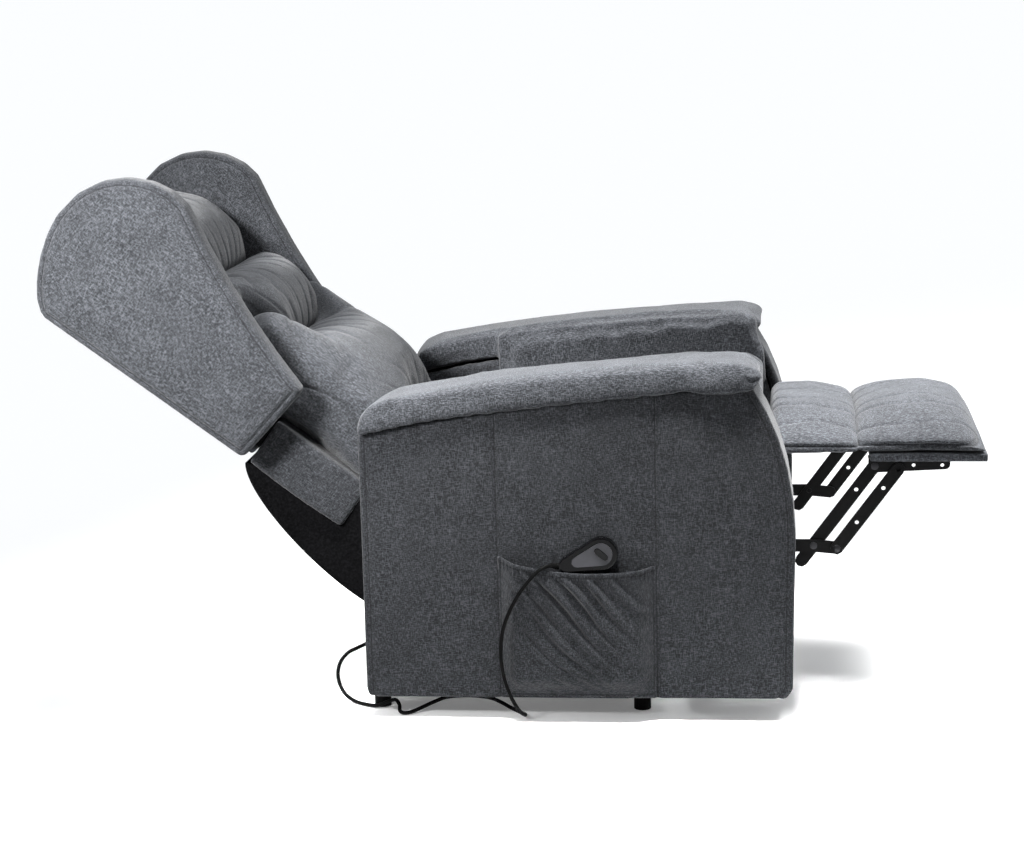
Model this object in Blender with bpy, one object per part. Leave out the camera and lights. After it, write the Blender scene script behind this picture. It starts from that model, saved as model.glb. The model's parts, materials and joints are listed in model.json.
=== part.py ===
"""Lift recliner chair, fully reclined with its legrest out and its lift down.

Frame: +X towards the sitter's feet, +Y to the sitter's left, +Z up, floor at z = 0.
The origin is under the middle of the chair's box. Lengths are in metres.
"""

from math import acos, atan2, cos, hypot, pi, radians, sin

import bmesh
import bpy
from mathutils import Matrix, Vector
from mathutils.geometry import tessellate_polygon

# ---------------------------------------------------------------- driving dimensions

GAP = 0.0003            # clearance left where two pieces touch
MID_X = 0.00665         # moves the chair's own frame so that its box is centred
MID_Y = 0.00825         # the chair's middle plane; the pocket makes the right side wider

# Arms
ARM_REAR_X = -0.2675
ARM_FRONT_X = 0.5015
ARM_OUTER = 0.360       # half width over the arm panels
ARM_BOTTOM_Z = 0.038
ARM_PANEL = 0.025       # thickness of the outer panel
ARM_STRIP = 0.018       # thickness of the front and rear strips
INNER_PANEL = (0.240, 0.256)
PAD_OUTER = 0.370
PAD_INNER = 0.222

# Seat
SEAT_HALF = 0.2195
DECK_Z = (0.375, 0.393)

# Back, in its own frame: x forwards and z up along the back, from the recline hinge
RECLINE_HINGE = (-0.2416, 0.372)
BACK_TILT = radians(53.67)
WING_Y = (0.255, 0.305)
BACK_HALF = 0.2535
LOWER_HALF = 0.236

# Lift linkage, x and z of each pivot with the lift down
LIFT_REAR = (-0.1715, 0.072)
LIFT_FRONT = (0.1645, 0.091)
TILT_REAR = (0.0248, 0.068)
TILT_FRONT = (0.2605, 0.077)
LIFT_ARM_Y = (0.2220, 0.2270)
TILT_LINK_Y = (0.2610, 0.2655)

# Legrest linkage, x and z of each pivot with the legrest out
LEG_PIVOT = (0.3565, 0.288)
LEG_CROSS = (0.5360, 0.288)
LEG_ELBOW = (0.5773, 0.284)
LEG_LINK = 0.183        # pivot to pivot length of the two slanting links
LEG_SLANT = radians(53.6)
BRIDGE_HINGE = (0.4534, 0.500)
PLATE_Y = (0.2050, 0.2105)
LAYER_A = (0.2115, 0.2150)
LAYER_C = (0.2160, 0.2195)
LAYER_B = (0.2205, 0.2240)
LINK_WIDTH = 0.023
PIN_R = 0.0045
HOLE_R = 0.0052
FOOTREST_HALF = 0.236

# Base
RAIL_Y = (0.273, 0.303)
RAIL_Z = (0.028, 0.050)
FOOT_R = 0.0155
FOOT_X = (-0.251, 0.227)

# Actuators, x and z of the motor pivot and of the rod pivot
LIFT_DRIVE = ((0.200, 0.078), (-0.104, 0.217))
RECLINE_DRIVE = ((0.245, 0.285), (-0.179, 0.264))
LEGREST_DRIVE = ((-0.1475, 0.205), (0.3989, 0.2456))
RECLINE_DRIVE_Y = 0.100
LEGREST_DRIVE_Y = -0.100

# Hand control and its cord
HANDSET_HEAD = (0.163, 0.313)
HANDSET_TAIL = (0.101, 0.292)
HANDSET_Y = (-0.3615, -0.3815)
CORD_R = 0.0035


# ---------------------------------------------------------------- materials

def material(name, colour, roughness, metallic=0.0):
    """A Principled material with one flat colour."""
    made = bpy.data.materials.new(name)
    made.use_nodes = True
    shader = made.node_tree.nodes["Principled BSDF"]
    shader.inputs["Base Color"].default_value = (*colour, 1.0)
    shader.inputs["Roughness"].default_value = roughness
    shader.inputs["Metallic"].default_value = metallic
    return made


FABRIC = dict(colour=(0.105, 0.120, 0.140), roughness=0.95)
STEEL = dict(colour=(0.012, 0.012, 0.013), roughness=0.45, metallic=0.6)
WOOD = dict(colour=(0.45, 0.33, 0.20), roughness=0.7)
RUBBER = dict(colour=(0.012, 0.012, 0.012), roughness=0.8)
PLASTIC = dict(colour=(0.010, 0.010, 0.011), roughness=0.25)
GREY_PLASTIC = dict(colour=(0.12, 0.12, 0.13), roughness=0.4)
CHROME = dict(colour=(0.6, 0.6, 0.62), roughness=0.2, metallic=1.0)
BLACK_CLOTH = dict(colour=(0.006, 0.006, 0.006), roughness=1.0)


# ---------------------------------------------------------------- outlines in x and z

def arc(centre, radius, start, end, steps):
    """Points on a circular arc, angles in degrees, anticlockwise when end > start."""
    angles = [radians(start + (end - start) * i / steps) for i in range(steps + 1)]
    return [(centre[0] + radius * cos(a), centre[1] + radius * sin(a)) for a in angles]


def bezier(controls, steps):
    """Points on a Bezier curve of any degree, without its last point."""
    points = []
    for i in range(steps):
        t = i / steps
        row = [Vector(c) for c in controls]
        while len(row) > 1:
            row = [a.lerp(b, t) for a, b in zip(row, row[1:])]
        points.append(tuple(row[0]))
    return points


def ring(centre, radius, sides=10):
    """A full circle of points."""
    turns = [2 * pi * i / sides for i in range(sides)]
    return [(centre[0] + radius * cos(a), centre[1] + radius * sin(a)) for a in turns]


def bar_outline(start, end, width, steps=4):
    """A flat bar with round ends, from pivot to pivot."""
    turn = atan2(end[1] - start[1], end[0] - start[0]) * 180 / pi
    return (arc(end, width / 2, turn - 90, turn + 90, steps)
            + arc(start, width / 2, turn + 90, turn + 270, steps))


def rectangle(x0, x1, z0, z1):
    """A rectangle, anticlockwise."""
    return [(x0, z0), (x1, z0), (x1, z1), (x0, z1)]


def towards(start, end, distance):
    """The point at a distance from start on the way to end."""
    span = hypot(end[0] - start[0], end[1] - start[1])
    share = distance / span
    return (start[0] + share * (end[0] - start[0]), start[1] + share * (end[1] - start[1]))


# ---------------------------------------------------------------- solids as bmeshes

def prism(outline, y0, y1, holes=()):
    """A solid between two y planes, from an outline in x and z and its holes."""
    low, high = min(y0, y1), max(y0, y1)
    loops = [outline, *holes]
    flat = [[Vector((x, z, 0.0)) for x, z in loop] for loop in loops]
    triangles = tessellate_polygon(flat)
    mesh = bmesh.new()
    near, far = [], []
    for loop in loops:
        near += [mesh.verts.new((x, low, z)) for x, z in loop]
        far += [mesh.verts.new((x, high, z)) for x, z in loop]
    for a, b, c in triangles:
        mesh.faces.new((near[a], near[b], near[c]))
        mesh.faces.new((far[c], far[b], far[a]))
    first = 0
    for loop in loops:
        count = len(loop)
        for i in range(count):
            a, b = first + i, first + (i + 1) % count
            mesh.faces.new((near[a], near[b], far[b], far[a]))
        first += count
    bmesh.ops.recalc_face_normals(mesh, faces=mesh.faces)
    return mesh


def box(x, y, z):
    """A box from three (low, high) pairs."""
    return prism(rectangle(x[0], x[1], z[0], z[1]), y[0], y[1])


def round_bar(start, end, radius, sides=12):
    """A solid round bar between two points."""
    a, b = Vector(start), Vector(end)
    mesh = bmesh.new()
    bmesh.ops.create_cone(mesh, cap_ends=True, segments=sides, radius1=radius, radius2=radius,
                          depth=(b - a).length)
    turn = (b - a).to_track_quat("Z", "Y").to_matrix().to_4x4()
    bmesh.ops.transform(mesh, matrix=Matrix.Translation((a + b) / 2) @ turn, verts=mesh.verts)
    return mesh


def cross_bar(centre, y0, y1, radius, sides=12):
    """A round bar along y through a point given in x and z."""
    return round_bar((centre[0], y0, centre[1]), (centre[0], y1, centre[1]), radius, sides)


def mirrored(mesh):
    """The same solid on the other side of the middle plane."""
    bmesh.ops.scale(mesh, vec=(1, -1, 1), verts=mesh.verts)
    bmesh.ops.reverse_faces(mesh, faces=mesh.faces)
    return mesh


def rounded(mesh, width, segments=2):
    """Bevels every edge that turns by more than 40 degrees."""
    sharp = [e for e in mesh.edges if e.calc_face_angle(0) > radians(40)]
    bmesh.ops.bevel(mesh, geom=sharp, offset=width, offset_type="OFFSET", segments=segments,
                    profile=0.5, affect="EDGES", clamp_overlap=True)
    return mesh


# ---------------------------------------------------------------- objects

def frame_empty(name, location, turn=0.0, parent=None):
    """An empty that carries the pieces of one moving group."""
    empty = bpy.data.objects.new(name, None)
    bpy.context.scene.collection.objects.link(empty)
    empty.location = location
    empty.rotation_euler = (0, turn, 0)
    empty.parent = parent
    return empty


def add_object(name, mesh, look, parent, origin=(0, 0, 0), smooth=True):
    """Makes the object; its mesh is given in its parent's coordinates."""
    bmesh.ops.translate(mesh, vec=-Vector(origin), verts=mesh.verts)
    data = bpy.data.meshes.new(name)
    mesh.to_mesh(data)
    mesh.free()
    made = bpy.data.objects.new(name, data)
    bpy.context.scene.collection.objects.link(made)
    made.location = origin
    made.parent = parent
    data.materials.append(material(name, **look))
    if smooth:
        data.shade_smooth()
        data.set_sharp_from_angle(angle=radians(35))
    return made


def join_solids(solids):
    """One solid from several that overlap, by exact unions."""
    helpers = []
    for index, mesh in enumerate(solids):
        data = bpy.data.meshes.new(f"piece_{index}")
        mesh.to_mesh(data)
        mesh.free()
        helper = bpy.data.objects.new(f"piece_{index}", data)
        bpy.context.scene.collection.objects.link(helper)
        helpers.append(helper)
    base = helpers[0]
    for helper in helpers[1:]:
        union = base.modifiers.new(helper.name, "BOOLEAN")
        union.operation = "UNION"
        union.solver = "EXACT"
        union.object = helper
    view = bpy.context.evaluated_depsgraph_get()
    view.update()
    joined = bmesh.new()
    joined.from_mesh(base.evaluated_get(view).to_mesh())
    for helper in helpers:
        data = helper.data
        bpy.data.objects.remove(helper)
        bpy.data.meshes.remove(data)
    bmesh.ops.dissolve_limit(joined, angle_limit=radians(0.5), verts=joined.verts,
                             edges=joined.edges)
    bmesh.ops.triangulate(joined, faces=joined.faces)
    return joined


def pair(name, make, look, parent, origin=(0, 0, 0)):
    """The right piece and its mirror image on the left; make() builds the right one."""
    flipped = (origin[0], -origin[1], origin[2])
    add_object(f"{name}_right", make(), look, parent, origin)
    add_object(f"{name}_left", mirrored(make()), look, parent, flipped)


def right(span):
    """A half-width span turned into y values on the sitter's right."""
    return -span[1], -span[0]


# ---------------------------------------------------------------- base

def make_base(chair):
    def rail():
        lug = (arc(TILT_REAR, 0.013, 0, 180, 5)
               + [(TILT_REAR[0] - 0.022, RAIL_Z[0] + 0.002), (TILT_REAR[0] + 0.022, RAIL_Z[0] + 0.002)])
        body = box((FOOT_X[0] - 0.018, FOOT_X[1] + 0.018), right(RAIL_Y), RAIL_Z)
        plate = prism(lug, -0.2735, -0.2685)
        pin = cross_bar(TILT_REAR, -0.2690, -0.2600, PIN_R, 10)
        return join_solids([body, plate, pin])

    pair("base_rail", rail, STEEL, chair)
    reach = RAIL_Y[0] - GAP
    front = [box((FOOT_X[1] - 0.018, FOOT_X[1] + 0.018), (-reach, reach), RAIL_Z)]
    front += clevis(LIFT_DRIVE[0], (0.222, 0.040), 0.0, pin=True)
    add_object("base_front_tube", join_solids(front), STEEL, chair)
    rear = [box((FOOT_X[0] - 0.018, FOOT_X[0] + 0.018), (-reach, reach), RAIL_Z)]
    lug = (arc(LIFT_REAR, 0.013, -30, 150, 5)
           + [(FOOT_X[0] - 0.010, RAIL_Z[1] + 0.004), (FOOT_X[0] - 0.010, RAIL_Z[0] + 0.003),
              (FOOT_X[0] + 0.030, RAIL_Z[0] + 0.003)])
    for side in (-1, 1):
        rear.append(prism(lug, side * 0.2290, side * 0.2340))
        rear.append(cross_bar(LIFT_REAR, side * 0.2210, side * 0.2300, PIN_R, 10))
    add_object("base_rear_tube", join_solids(rear), STEEL, chair)

    middle = (RAIL_Y[0] + RAIL_Y[1]) / 2
    for end, x in zip(("rear", "front"), FOOT_X):
        for side, y in (("right", -middle), ("left", middle)):
            foot = round_bar((x, y, 0), (x, y, RAIL_Z[0] - GAP), FOOT_R, 16)
            add_object(f"foot_{end}_{side}", foot, RUBBER, chair)


def clevis(pivot, root, y, pin=False):
    """Two lug plates from a root point out to a pivot, on either side of an actuator's eye."""
    outline = bar_outline(root, pivot, 0.022, 3)
    solids = [prism(outline, y + side * 0.0105, y + side * 0.0145) for side in (-1, 1)]
    if pin:
        solids.append(cross_bar(pivot, y - 0.0165, y + 0.0165, PIN_R, 10))
    return solids


# ---------------------------------------------------------------- lift linkage

def make_lift(chair):
    lift = frame_empty("lift_hinge", (LIFT_REAR[0], 0, LIFT_REAR[1]), parent=chair)
    start = (0.0, 0.0)
    end = (LIFT_FRONT[0] - LIFT_REAR[0], LIFT_FRONT[1] - LIFT_REAR[1])
    tube = towards(start, end, 0.085)
    outline = bar_outline(start, end, 0.025)
    pieces = [cross_bar(tube, -0.2225, 0.2225, 0.012)]
    rod_end = (LIFT_DRIVE[1][0] - LIFT_REAR[0], LIFT_DRIVE[1][1] - LIFT_REAR[1])
    pieces += clevis(rod_end, tube, 0.0)
    for side in (-1, 1):
        holes = [ring(start, HOLE_R), ring(end, HOLE_R)]
        pieces.append(prism(outline, side * LIFT_ARM_Y[0], side * LIFT_ARM_Y[1], holes))
    add_object("lift_yoke", join_solids(pieces), STEEL, lift)

    tilt = frame_empty("tilt_hinge", (TILT_REAR[0], 0, TILT_REAR[1]), parent=chair)
    end = (TILT_FRONT[0] - TILT_REAR[0], TILT_FRONT[1] - TILT_REAR[1])
    outline = bar_outline(start, end, 0.024)

    def link():
        return prism(outline, *right(TILT_LINK_Y), [ring(start, HOLE_R), ring(end, HOLE_R)])

    pair("tilt_link", link, STEEL, tilt)


# ---------------------------------------------------------------- chassis

def make_chassis(chair):
    def plate():
        top = DECK_Z[0] - GAP
        hinge_x, hinge_z = RECLINE_HINGE
        outline = [(0.385, top), (hinge_x + 0.020, top)]
        outline += arc(RECLINE_HINGE, 0.020, 20, 180, 5)
        outline += [(hinge_x - 0.020, 0.330), (-0.190, 0.190), (-0.140, 0.180), (-0.040, 0.300),
                    (0.090, 0.280), (0.140, 0.085)]
        outline += arc(LIFT_FRONT, 0.020, 215, 270, 2)
        outline += arc(TILT_FRONT, 0.017, 270, 360, 3)
        outline += [(0.300, 0.270), (0.335, 0.276)]
        outline += arc(LEG_PIVOT, 0.015, 225, 360, 4)
        outline += [(0.385, 0.330)]
        rear, front = -PLATE_Y[1], -PLATE_Y[0]
        pieces = [prism(outline, rear, front)]
        pieces.append(cross_bar(LIFT_FRONT, -0.2280, -0.2100, PIN_R, 10))
        pieces.append(cross_bar(TILT_FRONT, -0.2600, -0.2100, 0.009, 10))
        pieces.append(cross_bar(LEG_PIVOT, -0.2153, -0.2100, 0.009, 10))
        pieces.append(cross_bar(LEG_PIVOT, -0.2200, -0.2150, PIN_R, 10))
        pieces.append(cross_bar(RECLINE_HINGE, -0.2160, -0.2100, PIN_R, 10))
        return join_solids(pieces)

    pair("chassis_plate", plate, STEEL, chair)
    reach = PLATE_Y[0] - GAP
    rear = [cross_bar((-0.172, 0.205), -reach, reach, 0.0125)]
    rear += clevis(LEGREST_DRIVE[0], (-0.172, 0.205), LEGREST_DRIVE_Y, pin=True)
    add_object("chassis_rear_tube", join_solids(rear), STEEL, chair)
    front = [cross_bar((0.272, 0.285), -reach, reach, 0.0125)]
    front += clevis(RECLINE_DRIVE[0], (0.272, 0.285), RECLINE_DRIVE_Y, pin=True)
    add_object("chassis_front_tube", join_solids(front), STEEL, chair)

    deck = box((-0.205, 0.398), (-0.2385, 0.2385), DECK_Z)
    add_object("seat_deck", deck, WOOD, chair)

    bottom = DECK_Z[1] + GAP
    cushion = [(-0.200, bottom), (0.400, bottom), (0.404, 0.498), (0.449, 0.535), (0.440, 0.558),
               (0.300, 0.562), (0.080, 0.540), (-0.064, 0.522), (-0.0655, 0.505), (-0.090, 0.436),
               (-0.110, 0.416), (-0.200, 0.412)]
    add_object("seat_cushion", prism(cushion, -SEAT_HALF, SEAT_HALF), FABRIC, chair)

    box_body = box((-0.262, -0.182), (-0.190, -0.110), (0.062, 0.104))
    add_object("control_box", rounded(box_body, 0.004, 1), PLASTIC, chair)
    gland = round_bar((-0.2623, -0.170, 0.083), (-0.274, -0.170, 0.083), 0.0065, 10)
    add_object("cord_gland", gland, RUBBER, chair)


# ---------------------------------------------------------------- arms

def arm_top(steps=6):
    """The top edge of the arm panel, from the rear to the front."""
    return bezier([(ARM_REAR_X, 0.524), (0.050, 0.590), (0.4275, 0.606)], steps)


def arm_front(steps):
    """The front edge of the arm panel, from the top down."""
    return bezier([(0.4275, 0.606), (0.5135, 0.4785), (ARM_FRONT_X, 0.281)], steps)


def make_arms(chair):
    def shell():
        corner = 0.012
        side = arc((ARM_REAR_X + corner, ARM_BOTTOM_Z + corner), corner, 270, 180, 2)
        side += arm_top() + arm_front(6) + [(ARM_FRONT_X, 0.281), (0.498, 0.060), (0.486, 0.042)]
        front = arm_front(6) + [(ARM_FRONT_X, 0.281), (0.498, 0.060), (0.486, 0.042)]
        inner = [(x - ARM_STRIP, z - 0.003) for x, z in front[:-1]] + [(0.468, 0.0425)]
        strip = front + inner[::-1]
        rear = rectangle(ARM_REAR_X, ARM_REAR_X + ARM_STRIP, 0.062, 0.522)
        inside = ARM_OUTER - ARM_PANEL
        return join_solids([
            prism(side, -ARM_OUTER, -inside),
            prism(strip, -inside - 0.001, -INNER_PANEL[0]),
            prism(rear, -inside - 0.001, -INNER_PANEL[1] - 0.002),
        ])

    def inner():
        front = [(x - ARM_STRIP - 0.002, z - 0.006) for x, z in arm_front(4)]
        outline = [(-0.250, 0.300), (-0.250, 0.518)]
        outline += [(x, z - 0.006) for x, z in arm_top()[1:]]
        outline += front + [(0.478, 0.300)]
        return prism(outline, *right(INNER_PANEL))

    def pad():
        lower = [(x, z + GAP) for x, z in arm_top()] + [(0.4275, 0.6063)]
        nose = [(0.4458, 0.618), (0.4490, 0.627), (0.437, 0.637)]
        upper = bezier([(0.4045, 0.645), (0.100, 0.640), (-0.213, 0.584)], 6)
        tail = [(-0.213, 0.584), (-0.246, 0.570), (-0.263, 0.549)]
        slab = prism(lower + nose + upper + tail, -PAD_OUTER, -0.2390)
        drape = [(-0.085, 0.503), (0.452, 0.503), (0.452, 0.570), (0.4380, 0.611), (0.437, 0.636)]
        drape += upper[:5] + [(-0.085, 0.604)]
        return join_solids([slab, prism(drape, -0.2393, -PAD_INNER)])

    pair("arm_shell", shell, FABRIC, chair)
    pair("arm_inner_panel", inner, WOOD, chair)
    pair("arm_pad", pad, FABRIC, chair)

    left, low, top_left, top_right = -0.0215, 0.045, 0.304, 0.288
    edge = bezier([(0.2565, top_right), (0.105, 0.262), (left, top_left)], 6) + [(left, top_left)]
    front = prism([(left, low), (0.2565, low)] + edge, -0.3865, -0.3835)
    wall = 0.003
    back = -ARM_OUTER - GAP
    sides = [
        prism(rectangle(left, left + wall, low, top_left), -0.3845, back),
        prism(rectangle(0.2565 - wall, 0.2565, low, top_right), -0.3845, back),
        prism(rectangle(left, 0.2565, low, low + wall), -0.3845, back),
    ]
    add_object("side_pocket", join_solids([front, *sides]), FABRIC, chair)


# ---------------------------------------------------------------- legrest

def make_legrest(chair):
    def local(point, origin):
        return (point[0] - origin[0], point[1] - origin[1])

    board_pivot = (LEG_CROSS[0] + LEG_LINK * cos(LEG_SLANT), LEG_CROSS[1] + LEG_LINK * sin(LEG_SLANT))
    open_pivot = (LEG_ELBOW[0] + LEG_LINK * cos(LEG_SLANT), LEG_ELBOW[1] + LEG_LINK * sin(LEG_SLANT))

    swing = frame_empty("legrest_hinge", (LEG_PIVOT[0], 0, LEG_PIVOT[1]), parent=chair)
    cross = local(LEG_CROSS, LEG_PIVOT)
    elbow = local(LEG_ELBOW, LEG_PIVOT)

    def swing_link():
        outline = (arc(elbow, LINK_WIDTH / 2, -90, 90, 4) + [(cross[0], cross[1] + LINK_WIDTH / 2)]
                   + arc((0, 0), LINK_WIDTH / 2, 90, 270, 4) + [(cross[0], cross[1] - LINK_WIDTH / 2)])
        body = prism(outline, *right(LAYER_C), [ring((0, 0), HOLE_R)])
        inward = cross_bar(cross, -LAYER_C[0] - 0.0005, -LAYER_A[0] + 0.001, PIN_R, 10)
        outward = cross_bar(elbow, -LAYER_B[1] - 0.001, -LAYER_C[1] + 0.0005, PIN_R, 10)
        return join_solids([body, inward, outward])

    pair("legrest_swing_link", swing_link, STEEL, swing)

    tube = (0.045, 0.0)
    drive = local(LEGREST_DRIVE[1], LEG_PIVOT)
    reach = LAYER_C[0] - GAP
    torque = [cross_bar(tube, -reach, reach, 0.010)]
    torque += clevis(drive, tube, LEGREST_DRIVE_Y)
    add_object("legrest_torque_tube", join_solids(torque), STEEL, swing)

    slant = (LEG_LINK * cos(LEG_SLANT), LEG_LINK * sin(LEG_SLANT))
    fronts = frame_empty("front_link_hinge", (*cross[:1], 0, cross[1]), parent=swing)
    rears = frame_empty("rear_link_hinge", (elbow[0], 0, elbow[1]), parent=swing)

    def through_holes(*shares):
        spots = [(share * slant[0], share * slant[1]) for share in shares]
        return [ring((0, 0), HOLE_R), ring(slant, HOLE_R)] + [ring(spot, 0.004, 8) for spot in spots]

    def front_link():
        tail = (-0.20 * slant[0], -0.20 * slant[1])
        return prism(bar_outline(tail, slant, LINK_WIDTH), *right(LAYER_A), through_holes(0.70))

    def rear_link():
        return prism(bar_outline((0, 0), slant, LINK_WIDTH), *right(LAYER_B), through_holes(0.33, 0.76))

    pair("legrest_front_link", front_link, STEEL, fronts)
    pair("legrest_rear_link", rear_link, STEEL, rears)

    board = frame_empty("footrest_hinge", (slant[0], 0, slant[1]), parent=fronts)
    far = local(open_pivot, board_pivot)
    board_z = LINK_WIDTH / 2 + 0.004

    def bracket():
        outline = ([(-0.0115, board_z)] + arc((0, 0), LINK_WIDTH / 2, 180, 270, 3)
                   + arc((0.124, 0.0035), 0.009, 270, 360, 3) + [(0.133, board_z)])
        holes = [ring((0.0685, 0.002), 0.0035, 8), ring((0.119, 0.002), 0.0035, 8)]
        body = prism(outline, *right(LAYER_C), holes)
        pin = cross_bar((0, 0), -LAYER_C[0] - 0.0005, -LAYER_A[0] + 0.001, PIN_R, 10)
        flange = box((-0.0115, 0.133), (-LAYER_C[1], -LAYER_C[0] + 0.020), (board_z - 0.003, board_z))
        return join_solids([body, pin, flange])

    pair("footrest_bracket", bracket, STEEL, board)
    assert abs(far[0] - (LEG_ELBOW[0] - LEG_CROSS[0])) < 1e-9

    panel = (board_z + GAP, board_z + 0.0115)
    near_x, tip_x = -0.0100, 0.1979
    add_object("footrest_board", box((near_x, tip_x), (-FOOTREST_HALF, FOOTREST_HALF), panel), WOOD, board)
    pad_z = panel[1] + GAP
    pad = [(near_x - 0.0130, pad_z + 0.004), (near_x, pad_z), (tip_x, pad_z), (0.192, pad_z + 0.020),
           (0.165, pad_z + 0.042), (0.100, pad_z + 0.053), (0.020, pad_z + 0.050),
           (near_x - 0.010, pad_z + 0.038)]
    add_object("footrest_cushion", prism(pad, -FOOTREST_HALF, FOOTREST_HALF), FABRIC, board)

    bridge = frame_empty("bridge_hinge", (BRIDGE_HINGE[0], 0, BRIDGE_HINGE[1]), parent=chair)
    pad = [(0.002, -0.036), (0.020, -0.041), (0.150, -0.037), (0.156, -0.006), (0.142, 0.005),
           (0.080, 0.012), (0.015, 0.010), (0.002, 0.002)]
    add_object("bridge_cushion", prism(pad, -FOOTREST_HALF, FOOTREST_HALF), FABRIC, bridge)


# ---------------------------------------------------------------- back

def make_back(chair):
    back = frame_empty("recline_hinge", (RECLINE_HINGE[0], 0, RECLINE_HINGE[1]), -BACK_TILT, chair)

    def wing():
        outline = [(-0.0716, 0.2567), (0.0954, 0.2372)]
        outline += bezier([(0.0954, 0.2372), (0.154, 0.431), (0.2504, 0.593)], 5)[1:]
        outline += bezier([(0.2504, 0.593), (0.2714, 0.658), (0.2234, 0.774), (0.0984, 0.777)], 6)
        outline += bezier([(0.0984, 0.777), (0.0384, 0.777), (-0.0466, 0.743), (-0.0716, 0.702)], 5)
        outline += [(-0.0716, 0.702)]
        return rounded(prism(outline, *right(WING_Y)), 0.008, 1)

    pair("back_wing", wing, FABRIC, back)

    lower = rectangle(-0.089, 0.004, 0.0405, 0.2475)
    add_object("back_lower_box", prism(lower, -LOWER_HALF, LOWER_HALF), FABRIC, back)

    add_object("back_frame", back_frame(), WOOD, back)
    rear = [(-0.069, 0.2485), (-0.051, 0.2485), (-0.051, 0.718), (-0.061, 0.711), (-0.069, 0.696)]
    add_object("back_rear_panel", prism(rear, -BACK_HALF - 0.001, BACK_HALF + 0.001), FABRIC, back)

    lower_pad = [(0.006, 0.050), (0.006, 0.316), (0.125, 0.316), (0.156, 0.296), (0.169, 0.220),
                 (0.165, 0.125), (0.142, 0.050)]
    add_object("back_lower_cushion", prism(lower_pad[::-1], -0.235, 0.235), FABRIC, back)
    lumbar = [(-0.003, 0.318), (-0.003, 0.505), (0.128, 0.505), (0.162, 0.480), (0.170, 0.410),
              (0.156, 0.345), (0.125, 0.318)]
    add_object("back_lumbar_cushion", prism(lumbar[::-1], -BACK_HALF, BACK_HALF), FABRIC, back)
    head = [(-0.003, 0.507), (-0.003, 0.737), (0.090, 0.743), (0.152, 0.715), (0.180, 0.645),
            (0.175, 0.560), (0.128, 0.507)]
    add_object("back_head_cushion", prism(head[::-1], -BACK_HALF, BACK_HALF), FABRIC, back)

    face = 0.0405 - GAP

    def bracket():
        lug = arc((0, 0), 0.016, 180, 360, 5) + [(0.014, face), (-0.040, face)]
        body = prism(lug, -0.2150, -0.2115, [ring((0, 0), HOLE_R)])
        flange = box((-0.060, 0.000), (-0.2150, -0.180), (face - 0.004, face))
        return join_solids([body, flange])

    pair("back_hinge_bracket", bracket, STEEL, back)

    rod_end = Vector((RECLINE_DRIVE[1][0] - RECLINE_HINGE[0], 0, RECLINE_DRIVE[1][1] - RECLINE_HINGE[1]))
    rod_end.rotate(Matrix.Rotation(BACK_TILT, 3, "Y"))
    pivot = (rod_end.x, rod_end.z)
    lever = clevis(pivot, (-0.030, 0.020), RECLINE_DRIVE_Y)
    lever += clevis((-0.030, face - 0.012), (-0.030, 0.010), RECLINE_DRIVE_Y)
    flange_y = (RECLINE_DRIVE_Y - 0.020, RECLINE_DRIVE_Y + 0.020)
    lever.append(box((-0.060, 0.000), flange_y, (face - 0.004, face)))
    add_object("recline_lever", join_solids(lever), STEEL, back)


def back_frame():
    """A ladder frame: two uprights and three rails, all in one plane."""
    outline = rectangle(-0.250, 0.250, 0.2485, 0.706)
    openings = [rectangle(-0.205, 0.205, low, low + 0.153)[::-1] for low in (0.2985, 0.5015)]
    mesh = prism(outline, 0.004, 0.0505, openings)
    bmesh.ops.rotate(mesh, cent=(0, 0, 0), matrix=Matrix.Rotation(pi / 2, 3, "Z"), verts=mesh.verts)
    return mesh


# ---------------------------------------------------------------- actuators

def actuator(name, drive, y, parent, motor_side, tube_end, rod_start):
    """A motor with its outer tube, and the rod that slides in that tube."""
    start, end = drive
    span = hypot(end[0] - start[0], end[1] - start[1])
    turn = -atan2(end[1] - start[1], end[0] - start[0])
    hinge = frame_empty(f"{name}_hinge", (start[0], y, start[1]), turn, parent)
    eye = prism(ring((0, 0), 0.0095, 12), -0.0095, 0.0095, [ring((0, 0), HOLE_R)])
    neck = box((0.0075, 0.030), (-0.007, 0.007), (-0.006, 0.006))
    gearbox = box((0.024, 0.070), (-0.022, 0.022), (-0.020, 0.020))
    tube = prism(ring((0, 0), 0.0175, 12), 0.069, tube_end, [ring((0, 0), 0.0100)])
    bmesh.ops.rotate(tube, cent=(0, 0, 0), matrix=Matrix.Rotation(-pi / 2, 3, "Z"), verts=tube.verts)
    low, high = sorted((motor_side * 0.015, motor_side * 0.058))
    motor = box((0.030, 0.064), (-0.017, 0.017), (low, high))
    add_object(f"{name}_motor", join_solids([eye, neck, gearbox, tube, motor]), PLASTIC, hinge)
    rod = round_bar((rod_start, 0, 0), (span - 0.007, 0, 0), 0.008, 10)
    rod_eye = prism(ring((span, 0), 0.0095, 12), -0.0095, 0.0095, [ring((span, 0), HOLE_R)])
    add_object(f"{name}_rod", join_solids([rod, rod_eye]), CHROME, hinge, (span, 0, 0))


# ---------------------------------------------------------------- hand control

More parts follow.
